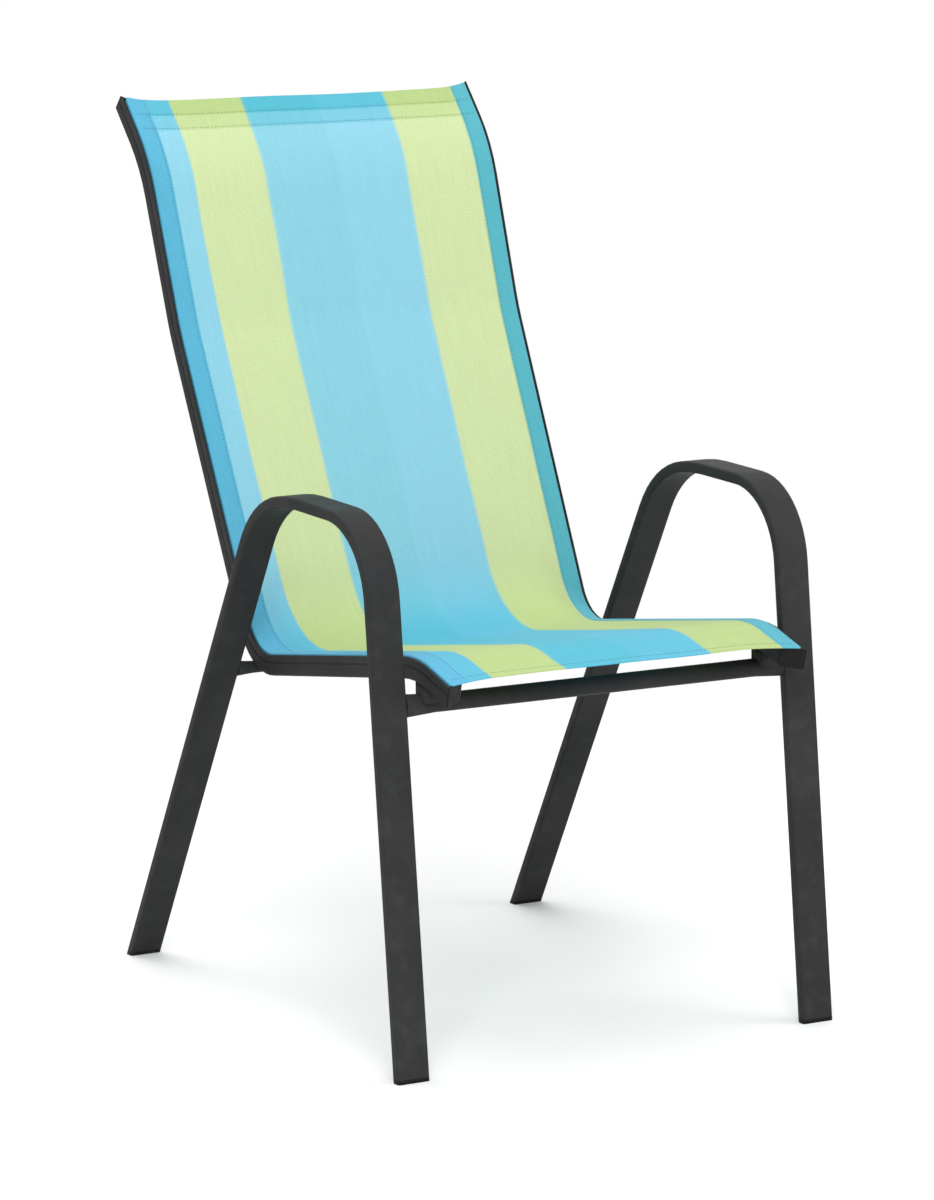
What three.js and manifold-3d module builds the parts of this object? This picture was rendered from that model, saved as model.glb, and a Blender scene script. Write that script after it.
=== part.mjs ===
// Sling patio chair: a steel tube frame with one sheet of fabric held between two J-shaped rails.
// Millimetres, +Z up. The sitter faces -Y and X runs across; left and right are as seen from the front.
// The origin is on the floor, under the middle of the chair.

import * as THREE from 'three';
import { mergeVertices } from 'three/addons/utils/BufferGeometryUtils.js';
import Module from 'manifold-3d';

const wasm = await Module();
wasm.setup();

// Clearances that every seat shares
const REST_GAP = 0.3;
const CUT_OVERRUN = 20;

// Side frames: a flat steel tube bent into front leg, arm and rear leg, a little closer together in front.
// The chair's width follows from the rear feet: front feet and rails are set in from them.
const REAR_FOOT_X = 241;
const FRONT_TOE_IN = 5.2;
const TUBE_WIDTH = 36;
const TUBE_DEPTH = 12;
const TUBE_CORNER = 2.5;
const TUBE_WALL = 1.5;
const FRONT_FOOT_Y = -342.3;
const ARM_FRONT_Y = -287.8;
const ARM_FRONT_Z = 552;
const ARM_FRONT_RADIUS = 86;
const ARM_CREST_Y = -118.9;
const ARM_CREST_Z = 556.3;
const ARM_CREST_RADIUS = 230;
const ARM_REAR_Y = -42.7;
const ARM_REAR_Z = 544.8;
const ARM_REAR_RADIUS = 117;
const REAR_FOOT_Y = 295.5;

// Foot glides: plastic plugs pushed into the open tube ends
const GLIDE_HEIGHT = 4;
const GLIDE_PLUG_LENGTH = 18;

// Sling rails: the line is the middle of the front face, from the seat's front edge to the top of the back.
// Up the back, each corner stands off the one below by a run to the rear and a rise.
const RAIL_INSET = 47.5;
const RAIL_WIDTH = 22;
const RAIL_DEPTH = 22;
const RAIL_CORNER = 2.5;
const RAIL_WALL = 1.6;
const RAIL_SPLAY = 8.7;
const SEAT_FRONT_Y = -374.3;
const SEAT_FRONT_Z = 399.4;
const SEAT_CREST_Y = -302.2;
const SEAT_CREST_Z = 419.7;
const SEAT_CREST_RADIUS = 140;
const SEAT_BACK_Y = 68.4;
const SEAT_BACK_Z = 365.8;
const SEAT_BACK_RADIUS = 52;
const LUMBAR_RUN = 167.8;
const LUMBAR_RISE = 331.5;
const LUMBAR_RADIUS = 248;
const FLARE_RUN = 64.5;
const FLARE_RISE = 179.6;
const FLARE_RADIUS = 182;
const TOP_RUN = 60.1;
const TOP_RISE = 63.1;

// The channel in each rail's front face that holds the edge of the fabric, and a groove along the outer face
const CHANNEL_RADIUS = 3;
const CHANNEL_THROAT = 2.9;
const CHANNEL_LIP = 2.4;
const CHANNEL_LIP_CORNER = 0.5;
const STYLE_GROOVE_FROM_FRONT = 8;
const STYLE_GROOVE_WIDTH = 2;
const STYLE_GROOVE_DEPTH = 0.9;
const ROD_RADIUS = 1.5;

// Both rail ends are cut on a slant that drops back towards the chair's middle, and closed by caps
const END_CUT_DROP = 15;
const CAP_HEAD = 1.5;
const CAP_PLUG_LENGTH = 12;

// Sling: the fabric bridges the bend between seat and back, so its own bend is wider than the rail's
const SLING_THICKNESS = 1;
const SLING_BEND_RADIUS = 112;
const SLING_SAG = 4;
const SLING_END_INSET = 0.8;
const TOP_HEM_DROP = 8.5;
const FRONT_HEM_DROP = 6;
const HEM_CURVE_REACH = 20;

// Crossbars between the legs: round tubes with ends pressed flat
const BAR_WALL = 1.5;
const FRONT_BAR_DIAMETER = 19;
const FRONT_BAR_Z = 372;
const FRONT_BAR_END_HEIGHT = 23.5;
const FRONT_BAR_FLARE_LENGTH = 32;
const REAR_BAR_DIAMETER = 13;
const REAR_BAR_END_HEIGHT = 19;
const REAR_BAR_FLARE_LENGTH = 17;

// Bowed bar between the rails, behind the back
const BACK_BAR_DIAMETER = 16;
const BACK_BAR_Z = 620;
const BACK_BAR_BOW = 34;
const BACK_BAR_END_RUN = 26;
const BACK_BAR_END_RADIUS = 42;
const BACK_BAR_SLOPE_RUN = 80;
const BACK_BAR_BOW_RADIUS = 130;

// Saddles: blocks on the front crossbar that carry the rails
const SADDLE_WIDTH = 17;
const SADDLE_LENGTH = 22;
const SADDLE_FORWARD = 5;
const SADDLE_FOOT_RISE = 3;

// Fineness of the round forms
const BEND_STEP = THREE.MathUtils.degToRad(7);
const CORNER_SEGMENTS = 1;
const RAIL_SEGMENTS = 2;
const ROD_SEGMENTS = 5;
const BAR_SEGMENTS = 8;
const BOWED_BAR_SEGMENTS = 6;
const SLING_COLUMN_SHARES = [0, 0.4, 0.68, 0.84, 0.92, 0.965, 1];

// Finishes
const frameFinish = { color: 0x343638, roughness: 0.42, metalness: 0.35 };
const plasticFinish = { color: 0x1d1e1f, roughness: 0.55, metalness: 0 };
const rodFinish = { color: 0xd8dadb, roughness: 0.4, metalness: 0 };
const slingFinish = { color: 0x7cc8e2, roughness: 0.8, metalness: 0 };

// A path of straight runs and round bends in one plane, with a station at each end of every straight run
// and at even steps round every bend
class BentPath extends THREE.Curve {
  constructor(corners) {
    super();
    this.stations = stationsOf(corners);
    this.steps = this.stations.length - 1;
  }

  getPointAt(share, target = new THREE.Vector3()) {
    return target.copy(this.stations[Math.round(share * this.steps)].point);
  }

  getTangentAt(share, target = new THREE.Vector3()) {
    return target.copy(this.stations[Math.round(share * this.steps)].tangent);
  }
}

function stationsOf(corners) {
  const stations = [];
  corners.forEach((corner, index) => {
    const into = index > 0 && direction(corners[index - 1], corner);
    const out = index < corners.length - 1 && direction(corner, corners[index + 1]);
    if (into && out) {
      stations.push(...bendStations(corner, into, out));
    } else {
      stations.push({ point: corner.place, tangent: into || out });
    }
  });
  return stations;
}

function direction(from, to) {
  return to.place.clone().sub(from.place).normalize();
}

function bendCentre(corner, into, out) {
  const inward = into.clone().cross(out).cross(into).normalize();
  return corner.place.clone()
    .addScaledVector(into, -corner.radius * Math.tan(into.angleTo(out) / 2))
    .addScaledVector(inward, corner.radius);
}

function bendStations(corner, into, out) {
  const turn = into.angleTo(out);
  const steps = Math.max(2, Math.ceil(turn / BEND_STEP));
  const axis = into.clone().cross(out).normalize();
  const inward = axis.clone().cross(into);
  const centre = bendCentre(corner, into, out);
  const stations = [];
  for (let step = 0; step <= steps; step += 1) {
    const angle = turn * step / steps;
    const spoke = inward.clone().applyAxisAngle(axis, angle);
    stations.push({
      point: centre.clone().addScaledVector(spoke, -corner.radius),
      tangent: into.clone().applyAxisAngle(axis, angle),
    });
  }
  return stations;
}

// A corner in the side plane, or the free end of a path when it has no radius
function sideCorner(y, z, radius) {
  return { place: new THREE.Vector3(0, y, z), radius };
}

// The direction out of the front face, for a path that runs from the seat's front to the top
function towardSitter(station) {
  return new THREE.Vector3(0, -station.tangent.z, station.tangent.y);
}

function sweep(shape, path, segments) {
  return new THREE.ExtrudeGeometry(shape, {
    steps: path.steps,
    extrudePath: path,
    curveSegments: segments,
    bevelEnabled: false,
  });
}

// Joins and cuts
function mergedCorners(geometry) {
  const plain = geometry.clone();
  plain.deleteAttribute('normal');
  plain.deleteAttribute('uv');
  return mergeVertices(plain);
}

function toSolid(geometry) {
  const merged = mergedCorners(geometry);
  return new wasm.Manifold(new wasm.Mesh({
    numProp: 3,
    vertProperties: new Float32Array(merged.attributes.position.array),
    triVerts: new Uint32Array(merged.index.array),
  }));
}

function toGeometry(solid) {
  const mesh = solid.getMesh();
  const geometry = new THREE.BufferGeometry();
  geometry.setAttribute('position', new THREE.BufferAttribute(mesh.vertProperties, mesh.numProp));
  geometry.setIndex(new THREE.BufferAttribute(mesh.triVerts, 1));
  geometry.computeVertexNormals();
  return geometry;
}

// The same piece for the other side of the chair
function mirrored(geometry) {
  const copy = mergedCorners(geometry);
  copy.scale(-1, 1, 1);
  const order = copy.index.array;
  for (let first = 0; first < order.length; first += 3) {
    [order[first], order[first + 1]] = [order[first + 1], order[first]];
  }
  copy.computeVertexNormals();
  return copy;
}

// Everything between two heights
function layer(low, high) {
  const reach = 2 * (REAR_FOOT_Y - FRONT_FOOT_Y);
  return toSolid(new THREE.BoxGeometry(reach, reach, high - low).translate(0, 0, (low + high) / 2));
}

function roundedRectangle(Outline, width, height, radius) {
  const outline = new Outline();
  const x = width / 2 - radius;
  const y = height / 2 - radius;
  outline.absarc(x, y, radius, 0, Math.PI / 2);
  outline.absarc(-x, y, radius, Math.PI / 2, Math.PI);
  outline.absarc(-x, -y, radius, Math.PI, Math.PI * 3 / 2);
  outline.absarc(x, -y, radius, Math.PI * 3 / 2, Math.PI * 2);
  outline.closePath();
  return outline;
}

function disc(Outline, radius) {
  const outline = new Outline();
  outline.absarc(0, 0, radius, 0, Math.PI * 2);
  return outline;
}

function ring(diameter) {
  const section = disc(THREE.Shape, diameter / 2);
  section.holes.push(disc(THREE.Path, diameter / 2 - BAR_WALL));
  return section;
}

// The side frames stand wider apart at the rear feet than at the front feet
function sideCentreAt(y) {
  return THREE.MathUtils.mapLinear(y, FRONT_FOOT_Y, REAR_FOOT_Y, REAR_FOOT_X - FRONT_TOE_IN, REAR_FOOT_X);
}

function toeOut(geometry) {
  const place = geometry.attributes.position;
  for (let index = 0; index < place.count; index += 1) {
    place.setX(index, place.getX(index) - sideCentreAt(place.getY(index)));
  }
  geometry.computeVertexNormals();
  return geometry;
}

// Side frame: the tube runs past the floor at both ends and is cut off level above the glides
const sideCorners = [
  sideCorner(FRONT_FOOT_Y, 0),
  sideCorner(ARM_FRONT_Y, ARM_FRONT_Z, ARM_FRONT_RADIUS),
  sideCorner(ARM_CREST_Y, ARM_CREST_Z, ARM_CREST_RADIUS),
  sideCorner(ARM_REAR_Y, ARM_REAR_Z, ARM_REAR_RADIUS),
  sideCorner(REAR_FOOT_Y, 0),
];
const [frontFoot, armFront] = sideCorners;
const [armRear, rearFoot] = sideCorners.slice(-2);

function beyond(from, to) {
  return { place: to.place.clone().addScaledVector(direction(from, to), CUT_OVERRUN) };
}

function tubeSection() {
  const section = roundedRectangle(THREE.Shape, TUBE_WIDTH, TUBE_DEPTH, TUBE_CORNER);
  section.holes.push(tubeBore(THREE.Path, 0));
  return section;
}

function tubeBore(Outline, clearance) {
  const inset = 2 * (TUBE_WALL + clearance);
  return roundedRectangle(Outline, TUBE_WIDTH - inset, TUBE_DEPTH - inset, TUBE_CORNER - TUBE_WALL);
}

function sideFrame() {
  const line = new BentPath([
    beyond(armFront, frontFoot),
    ...sideCorners.slice(1, -1),
    beyond(armRear, rearFoot),
  ]);
  const tube = toSolid(sweep(tubeSection(), line, CORNER_SEGMENTS));
  return toeOut(toGeometry(tube.subtract(layer(-2 * CUT_OVERRUN, GLIDE_HEIGHT + REST_GAP))));
}

// Foot glide: a base of the tube's outline and a plug in the tube's bore
function footGlide(foot, knee) {
  const halfway = { place: foot.place.clone().lerp(knee.place, 1 / 2) };
  const leg = new BentPath([beyond(knee, foot), halfway]);
  const outline = roundedRectangle(THREE.Shape, TUBE_WIDTH, TUBE_DEPTH, TUBE_CORNER);
  const base = toSolid(sweep(outline, leg, CORNER_SEGMENTS)).intersect(layer(0, GLIDE_HEIGHT));
  const plug = toSolid(sweep(tubeBore(THREE.Shape, REST_GAP), leg, CORNER_SEGMENTS))
    .intersect(layer(GLIDE_HEIGHT / 2, GLIDE_HEIGHT + GLIDE_PLUG_LENGTH));
  return toeOut(toGeometry(base.add(plug)));
}

// Rail line, and the sling's own line with its wider bend
const lumbarY = SEAT_BACK_Y + LUMBAR_RUN;
const lumbarZ = SEAT_BACK_Z + LUMBAR_RISE;
const flareY = lumbarY + FLARE_RUN;
const flareZ = lumbarZ + FLARE_RISE;
const backTopY = flareY + TOP_RUN;
const backTopZ = flareZ + TOP_RISE;

function backLine(bendRadius) {
  return new BentPath([
    sideCorner(SEAT_FRONT_Y, SEAT_FRONT_Z),
    sideCorner(SEAT_CREST_Y, SEAT_CREST_Z, SEAT_CREST_RADIUS),
    sideCorner(SEAT_BACK_Y, SEAT_BACK_Z, bendRadius),
    sideCorner(lumbarY, lumbarZ, LUMBAR_RADIUS),
    sideCorner(flareY, flareZ, FLARE_RADIUS),
    sideCorner(backTopY, backTopZ),
  ]);
}

const railLine = backLine(SEAT_BACK_RADIUS);
const slingLine = backLine(SLING_BEND_RADIUS);

// The rails stand a little wider apart at the top of the back than where it starts
function splayAt(z) {
  return RAIL_SPLAY * (z - SEAT_BACK_Z) / (backTopZ - SEAT_BACK_Z);
}

function leanOut(geometry) {
  const place = geometry.attributes.position;
  for (let index = 0; index < place.count; index += 1) {
    place.setX(index, place.getX(index) - splayAt(place.getZ(index)));
  }
  geometry.computeVertexNormals();
  return geometry;
}

// Rail section: x points out of the chair's side, and the front face is at y = 0
const railCentreX = REAR_FOOT_X - RAIL_INSET;
const railHalf = RAIL_WIDTH / 2;
const railInnerX = railCentreX - railHalf;
const channelDepth = RAIL_WALL + CHANNEL_RADIUS;
const channelCentre = railHalf - CHANNEL_LIP - CHANNEL_RADIUS;
const throatInner = railHalf - CHANNEL_LIP - CHANNEL_THROAT;

function railOutline(withChannel) {
  const outline = new THREE.Shape();
  const side = railHalf - RAIL_CORNER;
  const back = -RAIL_DEPTH + RAIL_CORNER;
  outline.absarc(-side, back, RAIL_CORNER, Math.PI, Math.PI * 3 / 2);
  outline.absarc(side, back, RAIL_CORNER, Math.PI * 3 / 2, Math.PI * 2);
  if (withChannel) {
    addStyleGroove(outline);
  }
  const lip = railHalf - CHANNEL_LIP_CORNER;
  outline.absarc(lip, -CHANNEL_LIP_CORNER, CHANNEL_LIP_CORNER, 0, Math.PI / 2);
  if (withChannel) {
    addChannel(outline);
  }
  outline.absarc(-side, -RAIL_CORNER, RAIL_CORNER, Math.PI / 2, Math.PI);
  outline.closePath();
  return outline;
}

function addStyleGroove(outline) {
  const low = -STYLE_GROOVE_FROM_FRONT - STYLE_GROOVE_WIDTH / 2;
  const high = low + STYLE_GROOVE_WIDTH;
  outline.lineTo(railHalf, low);
  outline.lineTo(railHalf - STYLE_GROOVE_DEPTH, low);
  outline.lineTo(railHalf - STYLE_GROOVE_DEPTH, high);
  outline.lineTo(railHalf, high);
}

// A round pocket behind a throat that runs down its outer side
function addChannel(outline) {
  const mouth = Math.acos((throatInner - channelCentre) / CHANNEL_RADIUS);
  outline.lineTo(railHalf - CHANNEL_LIP, 0);
  outline.absarc(channelCentre, -channelDepth, CHANNEL_RADIUS, 0, -Math.PI, true);
  outline.absarc(channelCentre, -channelDepth, CHANNEL_RADIUS, -Math.PI, mouth - Math.PI * 2, true);
  outline.lineTo(throatInner, 0);
}

// The hollow behind and beside the channel, drawn in by a clearance for what plugs it
function chamber(Outline, clearance) {
  const inner = -railHalf + RAIL_WALL + clearance;
  const outer = railHalf - RAIL_WALL - STYLE_GROOVE_DEPTH - clearance;
  const step = channelCentre - CHANNEL_RADIUS - RAIL_WALL - clearance;
  const back = -RAIL_DEPTH + RAIL_WALL + clearance;
  const ledge = -channelDepth - CHANNEL_RADIUS - RAIL_WALL - clearance;
  const front = -RAIL_WALL - clearance;
  const outline = new Outline();
  outline.moveTo(inner, back);
  outline.lineTo(outer, back);
  outline.lineTo(outer, ledge);
  outline.lineTo(step, ledge);
  outline.lineTo(step, front);
  outline.lineTo(inner, front);
  outline.closePath();
  return outline;
}

// The plane that an end of the left rail is cut on; +x is towards the chair's middle
function endPlane(station, outward) {
  const normal = station.tangent.clone().multiplyScalar(outward);
  normal.setX(END_CUT_DROP / RAIL_WIDTH).normalize();
  return { normal, offset: station.point.clone().setX(-railHalf).dot(normal) };
}

const frontEnd = { station: railLine.stations[0], outward: -1 };
const topEnd = { station: railLine.stations.at(-1), outward: 1 };

// What lies within, or beyond, the plane that stands off an end's own plane by a rise
function within(end, solid, rise) {
  const { normal, offset } = endPlane(end.station, end.outward);
  return solid.trimByPlane(normal.negate().toArray(), -offset - rise);
}

function beyondEnd(end, solid, rise) {
  const { normal, offset } = endPlane(end.station, end.outward);
  return solid.trimByPlane(normal.toArray(), offset + rise);
}

function cutToEnds(geometry) {
  return toGeometry(within(topEnd, within(frontEnd, toSolid(geometry), 0), 0));
}

function slingRail() {
  const section = railOutline(true);
  section.holes.push(chamber(THREE.Path, 0));
  return leanOut(cutToEnds(sweep(section, railLine, RAIL_SEGMENTS)));
}

// Rail cap: a head of the rail's outline and a plug in its hollow, on the straight run at the rail's end
function railCap(end) {
  const { station, outward } = end;
  const outermost = outward * CUT_OVERRUN;
  const blank = capPart(railOutline(false), station, -outermost, outermost);
  const head = beyondEnd(end, within(end, blank, REST_GAP + CAP_HEAD), REST_GAP);
  const plugEnd = -outward * (END_CUT_DROP + CAP_PLUG_LENGTH);
  const plug = capPart(chamber(THREE.Shape, REST_GAP), station, plugEnd, outermost);
  return leanOut(toGeometry(head.add(within(end, plug, REST_GAP + CAP_HEAD / 2))));
}

function capPart(shape, station, from, to) {
  const ends = [from, to].sort((a, b) => a - b);
  const corners = ends.map((along) => ({ place: station.point.clone().addScaledVector(station.tangent, along) }));
  return toSolid(sweep(shape, new BentPath(corners), RAIL_SEGMENTS));
}

// Sling section across the chair: the panel, and an edge that turns down into each rail's channel
const edgeInner = throatInner + REST_GAP;
const edgeInnerX = railCentreX + edgeInner;
const edgeOuterX = edgeInnerX + SLING_THICKNESS;

// The rod that locks the edge lies in the channel beside it
function splineRod() {
  const section = new THREE.Shape();
  section.absarc(edgeInner - REST_GAP - ROD_RADIUS, -channelDepth, ROD_RADIUS, 0, Math.PI * 2);
  return leanOut(cutToEnds(sweep(section, railLine, ROD_SEGMENTS)));
}

// The section's points under and over the fabric, in pairs from the middle out to the edge in the channel
function slingPairs() {
  const panelTop = REST_GAP + SLING_THICKNESS;
  const across = SLING_COLUMN_SHARES.map((share) => edgeInnerX * share);
  return [
    ...across.map((x) => ({ under: [x, REST_GAP], over: [x, panelTop] })),
    { under: [edgeInnerX, 0], over: [edgeOuterX, panelTop - SLING_THICKNESS / 2] },
    { under: [edgeInnerX, -channelDepth], over: [edgeOuterX, -channelDepth] },
  ];
}

// How far a free hem is drawn back from the rail's end, at a distance across the chair
function hemInset(x, drop) {
  const fromEdge = edgeOuterX - Math.abs(x);
  return SLING_END_INSET + drop * (1 - Math.exp(-fromEdge / HEM_CURVE_REACH));
}

// The edge in the channel ends short of the panel, because the rail's slant cut shortens the channel there
const edgeShortfall = END_CUT_DROP * (railHalf - edgeInner) / RAIL_WIDTH;

// The fabric is taut at both hems and sags a little between them
function sagAt(x, row) {
  const alongShare = Math.sin(Math.PI * row / railLine.steps);
  return SLING_SAG * alongShare * Math.max(1 - (x / railInnerX) ** 2, 0);
}

// Where a point of the sling's section goes at one station of its line
function slingPoint(x, height, row) {
  const onPanel = height > 0;
  const line = onPanel ? slingLine : railLine;
  const station = line.stations[row];
  const rise = onPanel ? height - sagAt(x, row) : height;
  const point = station.point.clone().addScaledVector(towardSitter(station), rise);
  const shortfall = onPanel && Math.abs(x) <= edgeInnerX ? 0 : edgeShortfall;
  if (row === 0) {
    point.addScaledVector(station.tangent, hemInset(x, FRONT_HEM_DROP) + shortfall);
  }
  if (row === line.steps) {
    point.addScaledVector(station.tangent, -hemInset(x, TOP_HEM_DROP) - shortfall);
  }
  const spreadShare = THREE.MathUtils.clamp(x / railInnerX, -1, 1);
  point.x = x + spreadShare * splayAt(point.z);
  return point;
}

function sling() {
  const pairs = slingPairs();
  const columns = pairs.length - 1;
  const rows = railLine.steps;
  const sheet = new THREE.BoxGeometry(2 * columns, 1, rows, 2 * columns, 1, rows);
  const place = sheet.attributes.position;
  for (let index = 0; index < place.count; index += 1) {
    const column = Math.round(place.getX(index));
    const pair = pairs[Math.abs(column)];
    const [across, height] = place.getY(index) > 0 ? pair.over : pair.under;
    const row = Math.round(rows / 2 - place.getZ(index));
    const point = slingPoint(Math.sign(column) * across, height, row);
    place.setXYZ(index, point.x, point.y, point.z);
  }
  sheet.computeVertexNormals();
  return sheet;
}

// Crossbars: each lies on the line of the legs that it joins, and its ends are pressed to the legs' thickness
const frontBar = {
  place: frontBarPlace(),
  legRun: direction(frontFoot, armFront),
  diameter: FRONT_BAR_DIAMETER,
  endHeight: FRONT_BAR_END_HEIGHT,
  flareLength: FRONT_BAR_FLARE_LENGTH,
};
const rearBar = {
  place: rearBarPlace(),
  legRun: direction(rearFoot, armRear),
  diameter: REAR_BAR_DIAMETER,
  endHeight: REAR_BAR_END_HEIGHT,
  flareLength: REAR_BAR_FLARE_LENGTH,
};

function frontBarPlace() {
  return frontFoot.place.clone().lerp(armFront.place, FRONT_BAR_Z / ARM_FRONT_Z);
}

// Where the rear bar just clears the outside of the rails' bend
function rearBarPlace() {
  const crest = sideCorner(SEAT_CREST_Y, SEAT_CREST_Z);
  const bend = sideCorner(SEAT_BACK_Y, SEAT_BACK_Z, SEAT_BACK_RADIUS);
  const lumbar = sideCorner(lumbarY, lumbarZ);
  const centre = bendCentre(bend, direction(crest, bend), direction(bend, lumbar));
  const legRun = direction(armRear, rearFoot);
  const nearest = armRear.place.clone()
    .addScaledVector(legRun, centre.clone().sub(armRear.place).dot(legRun));
  const reach = SEAT_BACK_RADIUS + RAIL_DEPTH + REST_GAP + REAR_BAR_DIAMETER / 2;
  return nearest.clone().addScaledVector(legRun, Math.sqrt(reach ** 2 - nearest.distanceToSquared(centre)));
}

function crossbar(bar, section) {
  const half = sideCentreAt(bar.place.y) - TUBE_WIDTH / 2 - REST_GAP;
  const flareStart = half - bar.flareLength;
  const flareMiddle = (half + flareStart) / 2;
  const rows = [-half, -flareMiddle, -flareStart, flareStart, flareMiddle, half];
  const steps = rows.length - 1;
  const tube = new THREE.ExtrudeGeometry(section, {
    depth: steps,
    steps,
    curveSegments: BAR_SEGMENTS,
    bevelEnabled: false,
  });
  const acrossLeg = towardSitter({ tangent: bar.legRun }).negate();
  const place = tube.attributes.position;
  for (let index = 0; index < place.count; index += 1) {
    const x = rows[Math.round(place.getZ(index))];
    const pressedShare = THREE.MathUtils.smoothstep(Math.abs(x), flareStart, half);
    const thinShare = THREE.MathUtils.lerp(1, TUBE_DEPTH / bar.diameter, pressedShare);
    const tallShare = THREE.MathUtils.lerp(1, bar.endHeight / bar.diameter, pressedShare);
    const point = bar.place.clone()
      .addScaledVector(acrossLeg, place.getX(index) * thinShare)
      .addScaledVector(bar.legRun, place.getY(index) * tallShare);
    place.setXYZ(index, x, point.y, point.z);
  }
  tube.computeVertexNormals();
  return tube;
}

// Back crossbar: between the rails' inner sides, bowed away from the sitter
function backCrossbar() {
  const backRun = direction(sideCorner(SEAT_BACK_Y, SEAT_BACK_Z), sideCorner(lumbarY, lumbarZ));
  const away = towardSitter({ tangent: backRun }).negate();
  const y = THREE.MathUtils.mapLinear(BACK_BAR_Z, SEAT_BACK_Z, lumbarZ, SEAT_BACK_Y, lumbarY);
  const middle = new THREE.Vector3(0, y, BACK_BAR_Z).addScaledVector(away, RAIL_DEPTH / 2);
  const half = railInnerX + splayAt(middle.z) - REST_GAP;
  const bowStart = half - BACK_BAR_END_RUN;
  const bowEnd = bowStart - BACK_BAR_SLOPE_RUN;
  const corner = (x, bow, radius) => ({
    place: middle.clone().setX(x).addScaledVector(away, bow),
    radius,
  });
  const line = new BentPath([
    corner(-half, 0),
    corner(-bowStart, 0, BACK_BAR_END_RADIUS),
    corner(-bowEnd, BACK_BAR_BOW, BACK_BAR_BOW_RADIUS),
    corner(bowEnd, BACK_BAR_BOW, BACK_BAR_BOW_RADIUS),
    corner(bowStart, 0, BACK_BAR_END_RADIUS),
    corner(half, 0),
  ]);
  return sweep(ring(BACK_BAR_DIAMETER), line, BOWED_BAR_SEGMENTS);
}

// Saddle: a block that sits on the front crossbar and takes the underside of the rail
function railSaddle() {
  const foot = FRONT_BAR_Z + SADDLE_FOOT_RISE;
  const top = SEAT_CREST_Z - RAIL_DEPTH / 2;
  const y = frontBar.place.y - SADDLE_FORWARD;
  const block = toSolid(new THREE.BoxGeometry(SADDLE_WIDTH, SADDLE_LENGTH, top - foot)
    .translate(-railCentreX - splayAt(top), y, (foot + top) / 2));
  const barSpace = toSolid(crossbar(frontBar, disc(THREE.Shape, FRONT_BAR_DIAMETER / 2 + REST_GAP)));
  const railSpace = toSolid(sweep(railBand(), railLine, 1).translate(-railCentreX, 0, 0));
  return toGeometry(block.subtract(barSpace).subtract(railSpace));
}

// The band that the rail's depth takes up, with its clearance, and what lies above it
function railBand() {
  const low = -RAIL_DEPTH - REST_GAP;
  const high = 2 * CUT_OVERRUN;
  return new THREE.Shape([
    new THREE.Vector2(-RAIL_WIDTH, low),
    new THREE.Vector2(RAIL_WIDTH, low),
    new THREE.Vector2(RAIL_WIDTH, high),
    new THREE.Vector2(-RAIL_WIDTH, high),
  ]);
}

// Assembly
const chair = new THREE.Group();

function addPiece(name, geometry, finish, x = 0) {
  const piece = new THREE.Mesh(geometry, new THREE.MeshStandardMaterial(finish));
  piece.name = name;
  piece.position.x = x;
  chair.add(piece);
}

function addPair(name, leftGeometry, finish, x) {
  addPiece(`${name}_left`, leftGeometry, finish, -x);
  addPiece(`${name}_right`, mirrored(leftGeometry), finish, x);
}

addPair('side_frame', sideFrame(), frameFinish, 0);
addPair('front_glide', footGlide(frontFoot, armFront), plasticFinish, 0);
addPair('rear_glide', footGlide(rearFoot, armRear), plasticFinish, 0);
addPiece('front_crossbar', crossbar(frontBar, ring(FRONT_BAR_DIAMETER)), frameFinish);
addPiece('rear_crossbar', crossbar(rearBar, ring(REAR_BAR_DIAMETER)), frameFinish);
addPiece('back_crossbar', backCrossbar(), frameFinish);
addPair('rail_saddle', railSaddle(), frameFinish, 0);
addPair('sling_rail', slingRail(), frameFinish, railCentreX);
addPair('rail_front_cap', railCap(frontEnd), plasticFinish, railCentreX);
addPair('rail_top_cap', railCap(topEnd), plasticFinish, railCentreX);
addPair('spline_rod', splineRod(), rodFinish, railCentreX);
addPiece('sling', sling(), slingFinish);

// Puts the origin under the middle of the whole chair
const extent = new THREE.Box3().setFromObject(chair);
chair.position.y = -(extent.min.y + extent.max.y) / 2;

export default chair;
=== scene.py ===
"""Sling patio chair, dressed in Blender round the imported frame. Metres, +Z up, the sitter faces -Y."""
import math

import bmesh
import bpy
import numpy as np
from mathutils import Matrix, Vector, noise


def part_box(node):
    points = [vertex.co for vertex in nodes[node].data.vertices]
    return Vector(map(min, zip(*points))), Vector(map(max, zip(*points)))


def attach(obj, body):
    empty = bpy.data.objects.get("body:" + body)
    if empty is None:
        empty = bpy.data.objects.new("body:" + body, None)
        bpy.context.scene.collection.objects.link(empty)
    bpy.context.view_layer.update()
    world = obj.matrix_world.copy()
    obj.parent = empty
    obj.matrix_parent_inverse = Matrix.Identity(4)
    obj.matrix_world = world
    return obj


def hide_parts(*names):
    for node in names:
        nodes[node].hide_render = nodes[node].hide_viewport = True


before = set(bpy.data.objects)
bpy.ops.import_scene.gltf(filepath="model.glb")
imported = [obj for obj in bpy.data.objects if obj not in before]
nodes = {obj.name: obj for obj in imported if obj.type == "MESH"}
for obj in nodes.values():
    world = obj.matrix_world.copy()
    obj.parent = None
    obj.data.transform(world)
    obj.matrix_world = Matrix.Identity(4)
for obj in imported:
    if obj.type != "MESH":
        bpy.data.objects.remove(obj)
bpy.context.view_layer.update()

MM = 0.001
scene = bpy.context.scene

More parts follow.
